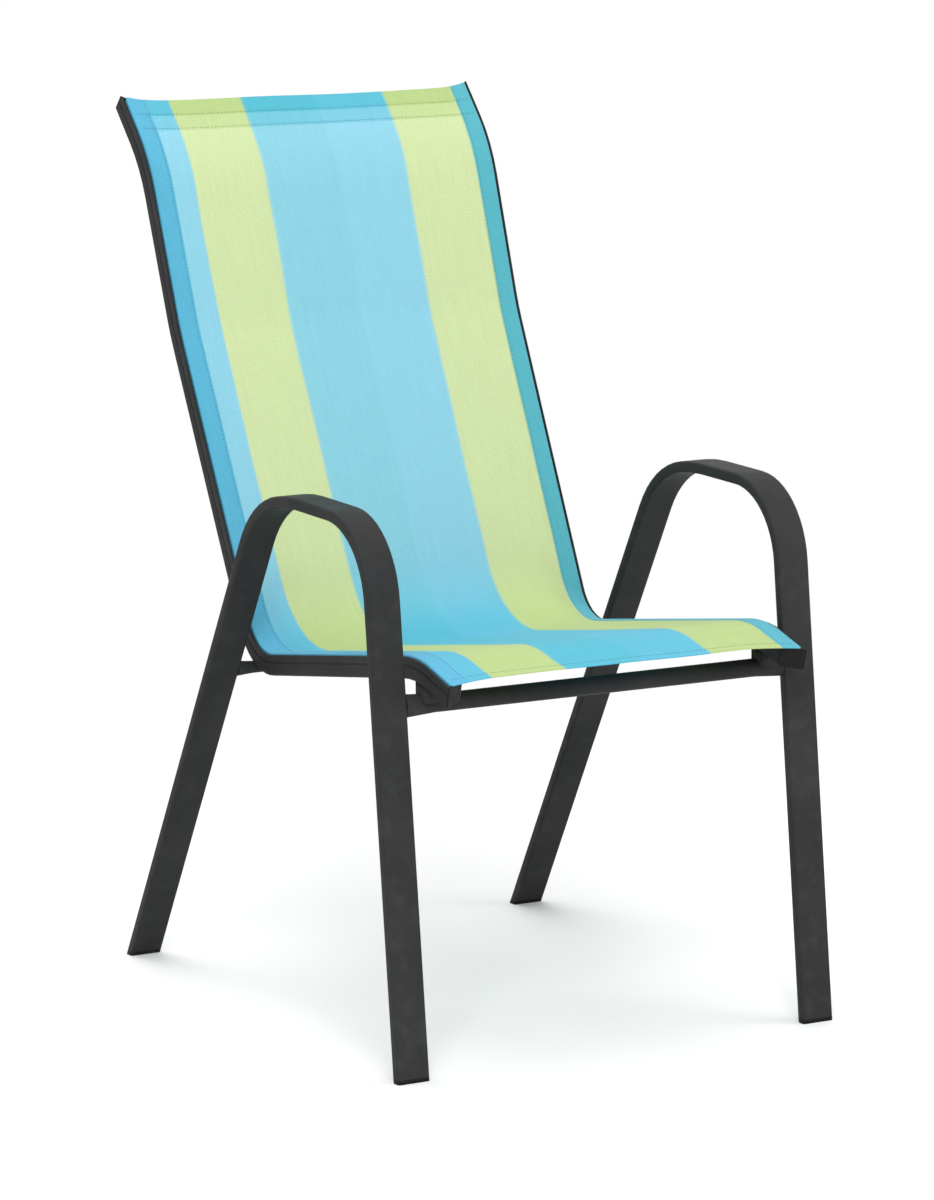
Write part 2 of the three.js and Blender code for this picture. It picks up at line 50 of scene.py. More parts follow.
# Sizes of the part's source under the names that they have there, in millimetres
REAR_FOOT_X = 241.0
FRONT_FOOT_Y = -342.3
ARM_FRONT_Y = -287.8
ARM_FRONT_Z = 552.0
FRONT_BAR_Z = 372.0
REST_GAP = 0.3
RAIL_INSET = 47.5
RAIL_WIDTH = 22.0
RAIL_WALL = 1.6
RAIL_SPLAY = 8.7
END_CUT_DROP = 15.0
CHANNEL_RADIUS = 3.0
CHANNEL_LIP = 2.4
CHANNEL_THROAT = 2.9
SEAT_FRONT_Y = -374.3
SEAT_FRONT_Z = 399.4
SEAT_CREST_Y = -302.2
SEAT_CREST_Z = 419.7
SEAT_CREST_RADIUS = 140.0
SEAT_BACK_Y = 68.4
SEAT_BACK_Z = 365.8
SEAT_BACK_RADIUS = 52.0
LUMBAR_RUN = 167.8
LUMBAR_RISE = 331.5
LUMBAR_RADIUS = 248.0
FLARE_RUN = 64.5
FLARE_RISE = 179.6
FLARE_RADIUS = 182.0
TOP_RUN = 60.1
TOP_RISE = 63.1
SLING_THICKNESS = 1.0
SLING_BEND_RADIUS = 112.0
SLING_SAG = 4.0
SLING_END_INSET = 0.8
TOP_HEM_DROP = 8.5
FRONT_HEM_DROP = 6.0
HEM_CURVE_REACH = 20.0

# Places that follow from them
FRONT_BAR_Y = FRONT_FOOT_Y + (ARM_FRONT_Y - FRONT_FOOT_Y) * FRONT_BAR_Z / ARM_FRONT_Z
LUMBAR_Y, LUMBAR_Z = SEAT_BACK_Y + LUMBAR_RUN, SEAT_BACK_Z + LUMBAR_RISE
FLARE_Y, FLARE_Z = LUMBAR_Y + FLARE_RUN, LUMBAR_Z + FLARE_RISE
BACK_TOP_Y, BACK_TOP_Z = FLARE_Y + TOP_RUN, FLARE_Z + TOP_RISE
RAIL_CENTRE_X = REAR_FOOT_X - RAIL_INSET
RAIL_INNER_X = RAIL_CENTRE_X - RAIL_WIDTH / 2
RAIL_OUTER_X = RAIL_CENTRE_X + RAIL_WIDTH / 2
CHANNEL_DEPTH = RAIL_WALL + CHANNEL_RADIUS
EDGE_INNER_X = RAIL_OUTER_X - CHANNEL_LIP - CHANNEL_THROAT + REST_GAP
EDGE_OUTER_X = EDGE_INNER_X + SLING_THICKNESS

# The rails' slant ends cut the channel, and with it the fabric's edge, this much shorter
EDGE_SHORTFALL = END_CUT_DROP * (RAIL_OUTER_X - EDGE_INNER_X) / RAIL_WIDTH

# Where the part's centring put the chair along Y
bar_low, bar_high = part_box("front_crossbar")
Y_SHIFT = (bar_low.y + bar_high.y) / 2 / MM - FRONT_BAR_Y


def smooth(low, high, value):
    """0 up to low, 1 from high on, and an even S between them."""
    t = np.clip((np.asarray(value, float) - low) / (high - low), 0, 1)
    return t * t * (3 - 2 * t)


# ---------------------------------------------------------------- camera, floor and light

CAMERA_PLACE = (-2346.867, -4475.80, 1253.653)
CAMERA_YAW = 0.4854384
CAMERA_PITCH = 0.1643013
CAMERA_ROLL = -0.0135748
FOCAL_PIXELS = 4819.398
FRAME_HEIGHT = 1200
SENSOR = 36.0
VIEW_END = 100

# Each light's place, the point that it faces, its side and its power in watts
LIGHTS = {
    "key": ((-1.6, -3.2, 3.0), (0, 0, 0.45), 2.2, 107),
    "fill": ((3.0, -2.2, 1.8), (0, 0, 0.5), 2.4, 40),
    "top": ((0.0, 0.6, 3.4), (0, 0, 0.4), 2.6, 50),
}
WORLD_STRENGTH = 0.68
WHITE = (1, 1, 1, 1)

# The floor, in metres: past the lit ground it goes over into the plain white of the backdrop
FLOOR_HALF = 40.0
FLOOR_PALE = 0.93
FLOOR_ROUGHNESS = 0.9
FADE_START = 0.9
FADE_END = 2.4


def make_camera():
    ahead = Vector((
        math.sin(CAMERA_YAW) * math.cos(CAMERA_PITCH),
        math.cos(CAMERA_YAW) * math.cos(CAMERA_PITCH),
        -math.sin(CAMERA_PITCH),
    ))
    level = Vector((math.cos(CAMERA_YAW), -math.sin(CAMERA_YAW), 0))
    upward = level.cross(ahead)
    right = math.cos(CAMERA_ROLL) * level + math.sin(CAMERA_ROLL) * upward
    up = -math.sin(CAMERA_ROLL) * level + math.cos(CAMERA_ROLL) * upward
    data = bpy.data.cameras.new("camera")
    data.sensor_width = SENSOR
    data.lens = FOCAL_PIXELS / FRAME_HEIGHT * SENSOR
    data.clip_end = VIEW_END
    camera = bpy.data.objects.new("camera", data)
    scene.collection.objects.link(camera)
    turn = Matrix((right, up, -ahead)).transposed().to_4x4()
    x, y, z = CAMERA_PLACE
    camera.matrix_world = Matrix.Translation((x * MM, (y + Y_SHIFT) * MM, z * MM)) @ turn
    scene.camera = camera


def area_light(name, place, aim, side, power):
    data = bpy.data.lights.new(name, "AREA")
    data.shape = "RECTANGLE"
    data.size = side
    data.size_y = side
    data.energy = power
    light = bpy.data.objects.new(name, data)
    scene.collection.objects.link(light)
    light.location = place
    light.rotation_mode = "QUATERNION"
    light.rotation_quaternion = (Vector(aim) - Vector(place)).to_track_quat("-Z", "Y")


def background_rays(tree):
    """1 for the rays that show the background: straight to the camera, mirrored or let through."""
    path = tree.nodes.new("ShaderNodeLightPath")
    either = path.outputs["Is Camera Ray"]
    for kind in ("Is Glossy Ray", "Is Transmission Ray"):
        larger = tree.nodes.new("ShaderNodeMath")
        larger.operation = "MAXIMUM"
        tree.links.new(either, larger.inputs[0])
        tree.links.new(path.outputs[kind], larger.inputs[1])
        either = larger.outputs[0]
    return either


def plain_background(tree, strength):
    made = tree.nodes.new("ShaderNodeBackground")
    made.inputs["Color"].default_value = WHITE
    made.inputs["Strength"].default_value = strength
    return made.outputs[0]


def make_world():
    """An even light on the object. Camera, mirrored and transmitted rays see plain white instead."""
    world = bpy.data.worlds.new("studio")
    scene.world = world
    world.use_nodes = True
    tree = world.node_tree
    tree.nodes.clear()
    out = tree.nodes.new("ShaderNodeOutputWorld")
    mix = tree.nodes.new("ShaderNodeMixShader")
    tree.links.new(background_rays(tree), mix.inputs["Fac"])
    tree.links.new(plain_background(tree, WORLD_STRENGTH), mix.inputs[1])
    tree.links.new(plain_background(tree, 1.0), mix.inputs[2])
    tree.links.new(mix.outputs[0], out.inputs[0])


def floor_material():
    g = Graph("floor")
    g.set(Base_Color=(FLOOR_PALE, FLOOR_PALE, FLOOR_PALE, 1))
    g.set(Roughness=FLOOR_ROUGHNESS, Specular_IOR_Level=0.0)
    glow = g.node("ShaderNodeEmission")
    reach = g.node("ShaderNodeVectorMath", operation="LENGTH")
    g.feed(reach.inputs[0], g.place())
    far = g.span(reach.outputs["Value"], FADE_START, FADE_END, soft=True)
    mix = g.node("ShaderNodeMixShader")
    g.feed(mix.inputs["Fac"], g.math("MULTIPLY", far, background_rays(g.tree)))
    g.feed(mix.inputs[1], g.shader.outputs[0])
    g.feed(mix.inputs[2], glow.outputs[0])
    g.feed(g.tree.nodes["Material Output"].inputs["Surface"], mix.outputs[0])
    return g.material


def make_floor():
    mesh = bpy.data.meshes.new("floor")
    corners = [(-1, -1), (1, -1), (1, 1), (-1, 1)]
    mesh.from_pydata([(x * FLOOR_HALF, y * FLOOR_HALF, 0) for x, y in corners], [], [(0, 1, 2, 3)])
    floor = bpy.data.objects.new("floor", mesh)
    scene.collection.objects.link(floor)
    mesh.materials.append(floor_material())


# ---------------------------------------------------------------- small node helpers

# Most values of a noise lie between these two
NOISE_LOW, NOISE_HIGH = 0.3, 0.7


class Graph:
    """A material's node tree with short calls for what the finishes below need."""

    def __init__(self, name):
        self.material = bpy.data.materials.new(name)
        self.material.use_nodes = True
        self.tree = self.material.node_tree
        self.shader = self.tree.nodes["Principled BSDF"]

    def node(self, kind, **values):
        made = self.tree.nodes.new(kind)
        for key, value in values.items():
            setattr(made, key, value)
        return made

    def feed(self, socket, value):
        """Links another node's output, or sets a plain value on the socket itself."""
        if isinstance(value, bpy.types.NodeSocket):
            self.tree.links.new(value, socket)
        else:
            socket.default_value = value

    def math(self, operation, a, b=0.0):
        made = self.node("ShaderNodeMath", operation=operation)
        self.feed(made.inputs[0], a)
        self.feed(made.inputs[1], b)
        return made.outputs[0]

    def blend(self, share, a, b, mode="MIX"):
        made = self.node("ShaderNodeMix", data_type="RGBA", blend_type=mode)
        self.feed(made.inputs["Factor"], share)
        self.feed(made.inputs[6], a)
        self.feed(made.inputs[7], b)
        return made.outputs[2]

    def span(self, value, low, high, out_low=0.0, out_high=1.0, soft=False):
        made = self.node("ShaderNodeMapRange", interpolation_type="SMOOTHSTEP" if soft else "LINEAR")
        self.feed(made.inputs["Value"], value)
        limits = (("From Min", low), ("From Max", high), ("To Min", out_low), ("To Max", out_high))
        for key, number in limits:
            self.feed(made.inputs[key], number)
        return made.outputs[0]

    def noise(self, scale, detail=2.0, vector=None):
        made = self.node("ShaderNodeTexNoise")
        made.inputs["Scale"].default_value = scale
        made.inputs["Detail"].default_value = detail
        self.feed(made.inputs["Vector"], vector or self.place())
        return made.outputs["Fac"]

    def uneven(self, low, high, scale, detail, vector=None):
        """A value that wanders between two limits with a noise."""
        return self.span(self.noise(scale, detail, vector), NOISE_LOW, NOISE_HIGH, low, high)

    def place(self):
        return self.node("ShaderNodeTexCoord").outputs["Object"]

    def bump(self, height, strength, distance):
        made = self.node("ShaderNodeBump")
        made.inputs["Strength"].default_value = strength
        made.inputs["Distance"].default_value = distance
        self.feed(made.inputs["Height"], height)
        self.feed(self.shader.inputs["Normal"], made.outputs[0])

    def set(self, **values):
        for key, value in values.items():
            self.feed(self.shader.inputs[key.replace("_", " ")], value)


def srgb(red, green, blue):
    """A colour given in display values from 0 to 255, as the shader takes it."""
    def linear(value):
        value /= 255
        return value / 12.92 if value <= 0.04045 else ((value + 0.055) / 1.055) ** 2.4
    return (linear(red), linear(green), linear(blue), 1.0)


# ---------------------------------------------------------------- finishes of the hard pieces

COAT_DARK, COAT_PALE, COAT_WORN = srgb(42, 43, 44), srgb(50, 50, 50), srgb(70, 71, 73)
PLASTIC_DARK, PLASTIC_PALE = srgb(16, 16, 17), srgb(24, 24, 25)
ROD_DARK, ROD_PALE = srgb(206, 208, 208), srgb(222, 223, 223)
WEAR = 0.45

# Limits over which a noise, or the sharpness of a corner, fades one tone into the next
TONE_FADE = (0.35, 0.65)
CORNER_FADE = (0.52, 0.6)
RUB_FADE = (0.5, 0.75)


def powder_coat():
    """Satin charcoal coat, a little uneven, with a paler film on rubbed corners."""
    g = Graph("powder_coat")
    tone = g.blend(g.span(g.noise(scale=9.0, detail=3.0), *TONE_FADE), COAT_DARK, COAT_PALE)
    corner = g.node("ShaderNodeNewGeometry").outputs["Pointiness"]
    rubbed = g.span(g.noise(scale=60.0, detail=4.0), *RUB_FADE)
    worn = g.math("MULTIPLY", g.span(corner, *CORNER_FADE), rubbed)
    g.set(Base_Color=g.blend(g.math("MULTIPLY", worn, WEAR), tone, COAT_WORN))
    g.set(Metallic=0.0, Roughness=g.uneven(0.46, 0.56, scale=35.0, detail=4.0))
    g.set(IOR=1.42, Specular_IOR_Level=0.06)
    g.bump(g.noise(scale=900.0), strength=0.18, distance=0.0004)
    return g.material


def moulded_plastic():
    """Black plastic with a fine moulded grain."""
    g = Graph("moulded_plastic")
    g.set(Base_Color=g.blend(g.noise(scale=40.0, detail=3.0), PLASTIC_DARK, PLASTIC_PALE))
    g.set(Roughness=g.uneven(0.5, 0.64, scale=120.0, detail=3.0), IOR=1.4, Specular_IOR_Level=0.2)
    g.bump(g.noise(scale=1400.0, detail=3.0), strength=0.3, distance=0.0003)
    return g.material


def extruded_rod():
    """Pale extruded plastic."""
    g = Graph("extruded_rod")
    g.set(Base_Color=g.blend(g.noise(scale=30.0), ROD_DARK, ROD_PALE))
    g.set(Roughness=g.uneven(0.35, 0.5, scale=200.0, detail=2.0))
    g.bump(g.noise(scale=300.0), strength=0.15, distance=0.0003)
    return g.material


# ---------------------------------------------------------------- the lines of rails and fabric

LINE_STEPS = 64


def line_corners(bend_radius):
    """Corners of the line in the side plane, from the seat's front to the top, with their radii."""
    return [
        (SEAT_FRONT_Y, SEAT_FRONT_Z, 0),
        (SEAT_CREST_Y, SEAT_CREST_Z, SEAT_CREST_RADIUS),
        (SEAT_BACK_Y, SEAT_BACK_Z, bend_radius),
        (LUMBAR_Y, LUMBAR_Z, LUMBAR_RADIUS),
        (FLARE_Y, FLARE_Z, FLARE_RADIUS),
        (BACK_TOP_Y, BACK_TOP_Z, 0),
    ]


def heading(a, b):
    return (b - a) / np.linalg.norm(b - a)


def straight_run(a, b):
    return [(a + (b - a) * step / LINE_STEPS, heading(a, b)) for step in range(LINE_STEPS)]


def round_bend(begin, into, radius, turn):
    centre = begin + math.copysign(radius, turn) * np.array([-into[1], into[0]])
    made = []
    for step in range(LINE_STEPS):
        angle = turn * step / LINE_STEPS
        c, s = math.cos(angle), math.sin(angle)
        spin = np.array([[c, -s], [s, c]])
        made.append((centre + spin @ (begin - centre), spin @ into))
    return made


def bent_line(bend_radius):
    """Points and tangents along straight runs and round bends, as many of them for any bend radius."""
    corners = [(np.array([y, z]), radius) for y, z, radius in line_corners(bend_radius)]
    line = []
    start = corners[0][0]
    for index in range(1, len(corners) - 1):
        corner, radius = corners[index]
        into = heading(corners[index - 1][0], corner)
        out = heading(corner, corners[index + 1][0])
        turn = math.atan2(into[0] * out[1] - into[1] * out[0], float(into @ out))
        reach = radius * math.tan(abs(turn) / 2)
        begin = corner - into * reach
        line += straight_run(start, begin) + round_bend(begin, into, radius, turn)
        start = corner + out * reach
    end = corners[-1][0]
    line += straight_run(start, end)
    line.append((end, line[-1][1]))
    return np.array([place for place, _ in line]), np.array([tangent for _, tangent in line])


rail_places, rail_tangents = bent_line(SEAT_BACK_RADIUS)
sling_places, sling_tangents = bent_line(SLING_BEND_RADIUS)
line_along = np.concatenate([[0], np.cumsum(np.linalg.norm(np.diff(sling_places, axis=0), axis=1))])
LINE_LENGTH = float(line_along[-1])


def on_line(places, tangents, along):
    place = np.stack([np.interp(along, line_along, places[:, k]) for k in (0, 1)], -1)
    tangent = np.stack([np.interp(along, line_along, tangents[:, k]) for k in (0, 1)], -1)
    return place, tangent / np.linalg.norm(tangent, axis=-1, keepdims=True)


def splay_at(z):
    """The rails stand a little wider apart at the top of the back than where it starts."""
    return RAIL_SPLAY * (z - SEAT_BACK_Z) / (BACK_TOP_Z - SEAT_BACK_Z)


# ---------------------------------------------------------------- the fabric's form
# u runs across the cloth and v along it, from the seat's front, both in millimetres

UNDERSIDE = REST_GAP
SLING_LAYER = 0.9
HEM_LAYER = 0.6
FOLD_SHARE = 0.8

# Widths of the doubled hems, half the width of the step at their inner edges, and over what length
# of cloth the drawn-back free ends even out
SIDE_HEM = 21.5
TOP_HEM = 48.0
TOP_HEM_FOLD = 26.0
FRONT_HEM = 14.0
HEM_STEP = 0.8
HEM_DROP_REACH = 70.0

# From its edge inwards the cloth goes over from the rails' line to its own, which bridges the bend,
# within EDGE_BLEND. Crown and waves grow to their full height within EDGE_CALM.
EDGE_BLEND = 46.0
EDGE_CALM = 60.0
FRONT_CROWN = 2.5
CROWN_REACH = 45.0

# Rows of stitches draw the cloth down, and pucker it in low waves beside them
STITCH_INSIDE = 2.5
STITCH_DIP = 0.32
STITCH_DIP_REACH = 1.3
PUCKER = 0.1
PUCKER_REACH = 6.0
PUCKER_PITCH = 11.0
PUCKER_DRIFT = 0.7
PUCKER_DRIFT_REACH = 37.0

# Low waves of the stretched cloth
SLACK = 0.5
SLACK_AT_ENDS = 0.9
SLACK_ACROSS = 85.0
SLACK_ALONG = 120.0
SLACK_PLACE = 3.7
SLACK_FRONT_REACH = 90.0
SLACK_TOP_REACH = 110.0
SLACK_FULL_SHARE = 0.6


def hem_inset(u, drop):
    from_edge = np.clip(EDGE_OUTER_X - np.abs(u), 0, None)
    return SLING_END_INSET + drop * (1 - np.exp(-from_edge / HEM_CURVE_REACH))


def cloth_along(u, v, shortfall):
    """Where a point v along the cloth lies on the line: its ends are drawn back in the middle."""
    near_front = np.clip(1 - v / HEM_DROP_REACH, 0, 1)
    near_top = np.clip(1 - (LINE_LENGTH - v) / HEM_DROP_REACH, 0, 1)
    front = (hem_inset(u, FRONT_HEM_DROP) + shortfall) * near_front
    top = (hem_inset(u, TOP_HEM_DROP) + shortfall) * near_top
    return v + front - top


def within_hem(width, distance):
    return 1 - smooth(width - HEM_STEP, width + HEM_STEP, distance)


def hem_share(u, v):
    """How far a place is inside the doubled hems, from 0 to 1, and inside the top hem's own fold."""
    side = within_hem(SIDE_HEM, EDGE_OUTER_X - np.abs(u))
    top = within_hem(TOP_HEM, LINE_LENGTH - v)
    front = within_hem(FRONT_HEM, v)
    fold = within_hem(TOP_HEM_FOLD, LINE_LENGTH - v)
    return np.maximum(np.maximum(side, top), front), fold


def stitch_dip(u, v):
    """How far the thread pulls the hems' face down along each row of stitches, with its puckers."""
    rows = [
        (EDGE_OUTER_X - np.abs(u) - (SIDE_HEM - STITCH_INSIDE), v),
        (LINE_LENGTH - v - (TOP_HEM - STITCH_INSIDE), u),
        (LINE_LENGTH - v - (TOP_HEM_FOLD - STITCH_INSIDE), u),
        (v - (FRONT_HEM - STITCH_INSIDE), u),
    ]
    dip = np.zeros(np.broadcast(u, v).shape)
    for distance, run in rows:
        dip = dip + STITCH_DIP * np.exp(-(distance / STITCH_DIP_REACH) ** 2)
        phase = run * 2 * math.pi / PUCKER_PITCH + PUCKER_DRIFT * np.sin(run / PUCKER_DRIFT_REACH)
        dip = dip + PUCKER * np.exp(-(distance / PUCKER_REACH) ** 2) * np.sin(phase)
    return dip


def slack(u, v):
    """Low waves that a stretched cloth keeps, stronger towards the free hems."""
    wave = np.zeros(np.broadcast(u, v).shape)
    flat_u, flat_v = np.broadcast_arrays(u, v)
    for index in np.ndindex(wave.shape):
        place = (flat_u[index] / SLACK_ACROSS, flat_v[index] / SLACK_ALONG, SLACK_PLACE)
        wave[index] = noise.noise(place)
    ends = np.exp(-flat_v / SLACK_FRONT_REACH) + np.exp(-(LINE_LENGTH - flat_v) / SLACK_TOP_REACH)
    inside = smooth(0, EDGE_CALM, EDGE_OUTER_X - np.abs(flat_u))
    return wave * (SLACK + SLACK_AT_ENDS * ends) * inside


def panel_lift(u, v):
    """Height of the cloth's middle above a flat panel: sag, the front hem's crown and slack."""
    across = np.clip(1 - (u / RAIL_INNER_X) ** 2, 0, None)
    sag = -SLING_SAG * np.sin(math.pi * np.clip(v / LINE_LENGTH, 0, 1)) * across
    crown = FRONT_CROWN * np.exp(-v / CROWN_REACH) * smooth(0, EDGE_CALM, EDGE_OUTER_X - np.abs(u))
    return sag + crown + slack(u, v) * smooth(0, SLACK_FULL_SHARE, across)


def face_over(u, v):
    """Height of the cloth's face above the rails' front faces, before the lift of its middle."""
    doubled, fold = hem_share(u, v)
    layers = SLING_LAYER + HEM_LAYER * (doubled + FOLD_SHARE * fold)
    return UNDERSIDE + layers - stitch_dip(u, v) * doubled


def cloth_point(u, v, height, shortfall=0.0):
    """The place in the row frame, in metres, of a height above the rails' front faces."""
    along = cloth_along(u, v, shortfall)
    rail_place, rail_tangent = on_line(rail_places, rail_tangents, along)
    sling_place, sling_tangent = on_line(sling_places, sling_tangents, along)
    bridged = smooth(0, EDGE_BLEND, EDGE_OUTER_X - np.abs(u))[..., None]
    place = rail_place * (1 - bridged) + sling_place * bridged
    tangent = rail_tangent * (1 - bridged) + sling_tangent * bridged
    tangent = tangent / np.linalg.norm(tangent, axis=-1, keepdims=True)
    out = np.stack([-tangent[..., 1], tangent[..., 0]], -1)
    place = place + out * np.asarray(height)[..., None]
    y, z = place[..., 0], place[..., 1]
    x = u + np.clip(u / RAIL_INNER_X, -1, 1) * splay_at(z)
    return np.stack([x, y + Y_SHIFT, z], -1) * MM


# ---------------------------------------------------------------- the fabric's mesh

# Steps of the mesh, and the closer ones on both sides of each seam
CLOTH_STEP = 5.0
CLOSEST_STEP = 0.45
SEAM_OFFSETS = (-2.6, -1.7, -0.9, 0.0, 0.9, 1.7, 2.6)
FACE_STOP = 2.0
ROUNDING = 1e-6
MERGE_DISTANCE = 1e-6

# Both free ends are rounded off over TIP, with rows of points at these shares of it
TIP = 1.1
TIP_SHARES = (0.0, 0.12, 0.4, 0.75)

# The edge turns down in these steps. First comes the upper face: how far it stands in from
# EDGE_OUTER_X, and its height against the hem's top. Then the lower face: how far it stands in from
# EDGE_INNER_X, and its height against UNDERSIDE. Last comes the step's share of the shortfall.
EDGE_TURN = [
    (1.0, -0.15, 0.4, 0.0, 0.2),
    (0.3, -0.5, 0.1, -0.1, 0.6),
    (0.0, -1.2, 0.0, -0.5, 1.0),
]
CHANNEL_STEPS = (1.4, 3.0, CHANNEL_DEPTH)


def spaced(low, high, step, seams):
    """Positions from low to high about a step apart, with closer ones round each seam."""
    count = max(2, int(round((high - low) / step)) + 1)
    values = list(np.linspace(low, high, count))
    for seam in seams:
        values += [seam + offset for offset in SEAM_OFFSETS]
    values = sorted(value for value in values if low - ROUNDING <= value <= high + ROUNDING)
    kept = [values[0]]
    for value in values[1:]:
        if value - kept[-1] > CLOSEST_STEP:
            kept.append(value)
    kept[-1] = high
    return np.array(kept)


def cloth_rows():
    """Places along the cloth, closer at the seams and at both rounded tips."""
    seams = [FRONT_HEM, FRONT_HEM - STITCH_INSIDE]
    for hem in (TOP_HEM, TOP_HEM_FOLD):
        seams += [LINE_LENGTH - hem, LINE_LENGTH - hem + STITCH_INSIDE]
    rows = spaced(TIP, LINE_LENGTH - TIP, CLOTH_STEP, seams)
    tips = [TIP * share for share in TIP_SHARES]
    return np.concatenate([tips, rows, [LINE_LENGTH - tip for tip in tips[::-1]]])


def face_column(across, rows):
    """The upper and lower points of one column of the open face, rounded off at both tips."""
    u = np.full_like(rows, across)
    lift = panel_lift(u, rows)
    over = face_over(u, rows)
    low = np.full_like(rows, UNDERSIDE)
    share = np.clip(np.minimum(rows, LINE_LENGTH - rows) / TIP, 0, 1)
    round_off = np.sqrt(np.clip(1 - (1 - share) ** 2, 0, 1))
    middle = (over + low) / 2
    over = middle + (over - middle) * round_off
    low = middle - (middle - low) * round_off
    return cloth_point(u, rows, over + lift), cloth_point(u, rows, low + lift)


def edge_steps():
    """Each step's cloth coordinate, the place and height of both faces, and its share of the shortfall."""
    brim = UNDERSIDE + SLING_LAYER + HEM_LAYER
    steps = []
    for inset, rise, inner_inset, inner_rise, cut_share in EDGE_TURN:
        x = EDGE_OUTER_X - inset
        steps.append((x, x, brim + rise, EDGE_INNER_X - inner_inset, UNDERSIDE + inner_rise, cut_share))
    for depth in CHANNEL_STEPS:
        steps.append((EDGE_OUTER_X + depth, EDGE_OUTER_X, -depth, EDGE_INNER_X, -depth, 1.0))
    return steps


def edge_columns(side, rows):
    """The columns of one turned-down edge, from the face outwards."""
    columns = []
    for across, x, height, inner_x, inner_height, cut_share in edge_steps():
        shortfall = EDGE_SHORTFALL * cut_share
        upper, lower = (
            cloth_point(np.full_like(rows, side * at_x), rows, np.full_like(rows, at_height), shortfall)
            for at_x, at_height in ((x, height), (inner_x, inner_height))
        )
        columns.append((side * across, upper, lower))
    return columns


def sheet_faces(n_col, n_row):
    """The faces of a closed sheet: upper side, lower side and a rim all round."""
    def at(c, r, low=0):
        return low * n_col * n_row + c * n_row + r

    faces = []
    for c in range(n_col - 1):
        for r in range(n_row - 1):
            faces.append((at(c, r), at(c + 1, r), at(c + 1, r + 1), at(c, r + 1)))
            faces.append((at(c, r, 1), at(c, r + 1, 1), at(c + 1, r + 1, 1), at(c + 1, r, 1)))
    for c in range(n_col - 1):
        for r, flip in ((0, False), (n_row - 1, True)):
            quad = (at(c, r), at(c, r, 1), at(c + 1, r, 1), at(c + 1, r))
            faces.append(quad[::-1] if flip else quad)
    for r in range(n_row - 1):
        for c, flip in ((0, False), (n_col - 1, True)):
            quad = (at(c, r), at(c, r + 1), at(c, r + 1, 1), at(c, r, 1))
            faces.append(quad[::-1] if flip else quad)
    return faces


def build_sling():
    seam = EDGE_OUTER_X - SIDE_HEM
    half = spaced(0, EDGE_OUTER_X - FACE_STOP, CLOTH_STEP, (seam, seam + STITCH_INSIDE))
    rows = cloth_rows()
    face = [(across, *face_column(across, rows)) for across in np.concatenate([-half[::-1], half[1:]])]
    columns = edge_columns(-1, rows)[::-1] + face + edge_columns(1, rows)
    upper = np.array([over for _, over, _ in columns])
    lower = np.array([under for _, _, under in columns])
    verts = np.concatenate([upper.reshape(-1, 3), lower.reshape(-1, 3)])
    flat = [(across * MM, v * MM) for across, _, _ in columns for v in rows] * 2
    return mesh_piece("sling_fabric", verts, sheet_faces(len(columns), len(rows)), flat, MERGE_DISTANCE)


def mesh_piece(name, verts, faces, flat, merge):
    """A smooth mesh object whose UV map holds each vertex's place on the flat cloth, in metres."""
    mesh = bpy.data.meshes.new(name)
    mesh.from_pydata([tuple(v) for v in verts], [], faces)
    layer = mesh.uv_layers.new(name="cloth")
    corner = np.zeros(len(mesh.loops), int)
    mesh.loops.foreach_get("vertex_index", corner)
    layer.data.foreach_set("uv", np.array(flat, float)[corner].ravel())
    tidy = bmesh.new()
    tidy.from_mesh(mesh)
    bmesh.ops.remove_doubles(tidy, verts=tidy.verts, dist=merge)
    bmesh.ops.recalc_face_normals(tidy, faces=tidy.faces)
    tidy.to_mesh(mesh)
    tidy.free()
    mesh.polygons.foreach_set("use_smooth", [True] * len(mesh.polygons))
    made = bpy.data.objects.new(name, mesh)
    scene.collection.objects.link(made)
    return made


# ---------------------------------------------------------------- the fabric's look

BLUE = srgb(79, 164, 197)
LIGHT = srgb(78, 169, 194)
LIME = srgb(167, 187, 121)
AQUA = srgb(69, 167, 189)
TEAL = srgb(76, 164, 180)

# Where each stripe starts across the cloth, and its colour
STRIPES = [
    (-300.0, BLUE),
    (-179.0, LIGHT),
    (-153.8, LIME),
    (-70.6, AQUA),
    (14.5, LIGHT),
    (96.0, LIME),
    (179.6, TEAL),
]
STRIPE_SOFTNESS = 0.7
CLOTH_REACH = 0.3

# The back begins between these two places along the cloth, in metres. Light coming through its open mesh
# is painted into its colour
BACK_START = 0.4
BACK_FULL = 0.54
# Painted light through the back's open mesh, its share and its colour, then the painted shade on the
# back's doubled hems
PAINTED_LIGHT_SHARE = 0.15
PAINTED_LIGHT_COLOUR = (0.9, 0.9, 0.82, 1)
PAINTED_HEM_SHADE = (0.88, 0.91, 0.88, 1)
TOP_HEM_DENSITY = 0.5
HEM_LINE = 0.5
WEAVE_PITCH = 0.0016
GAP_WIDTH = 0.22
# Painted shade in the gaps between the yarns
GAP_SHADE = 0.82
CROSSING_RELIEF = 0.35
WARP_STRETCH = (420.0, 12.0, 1.0)


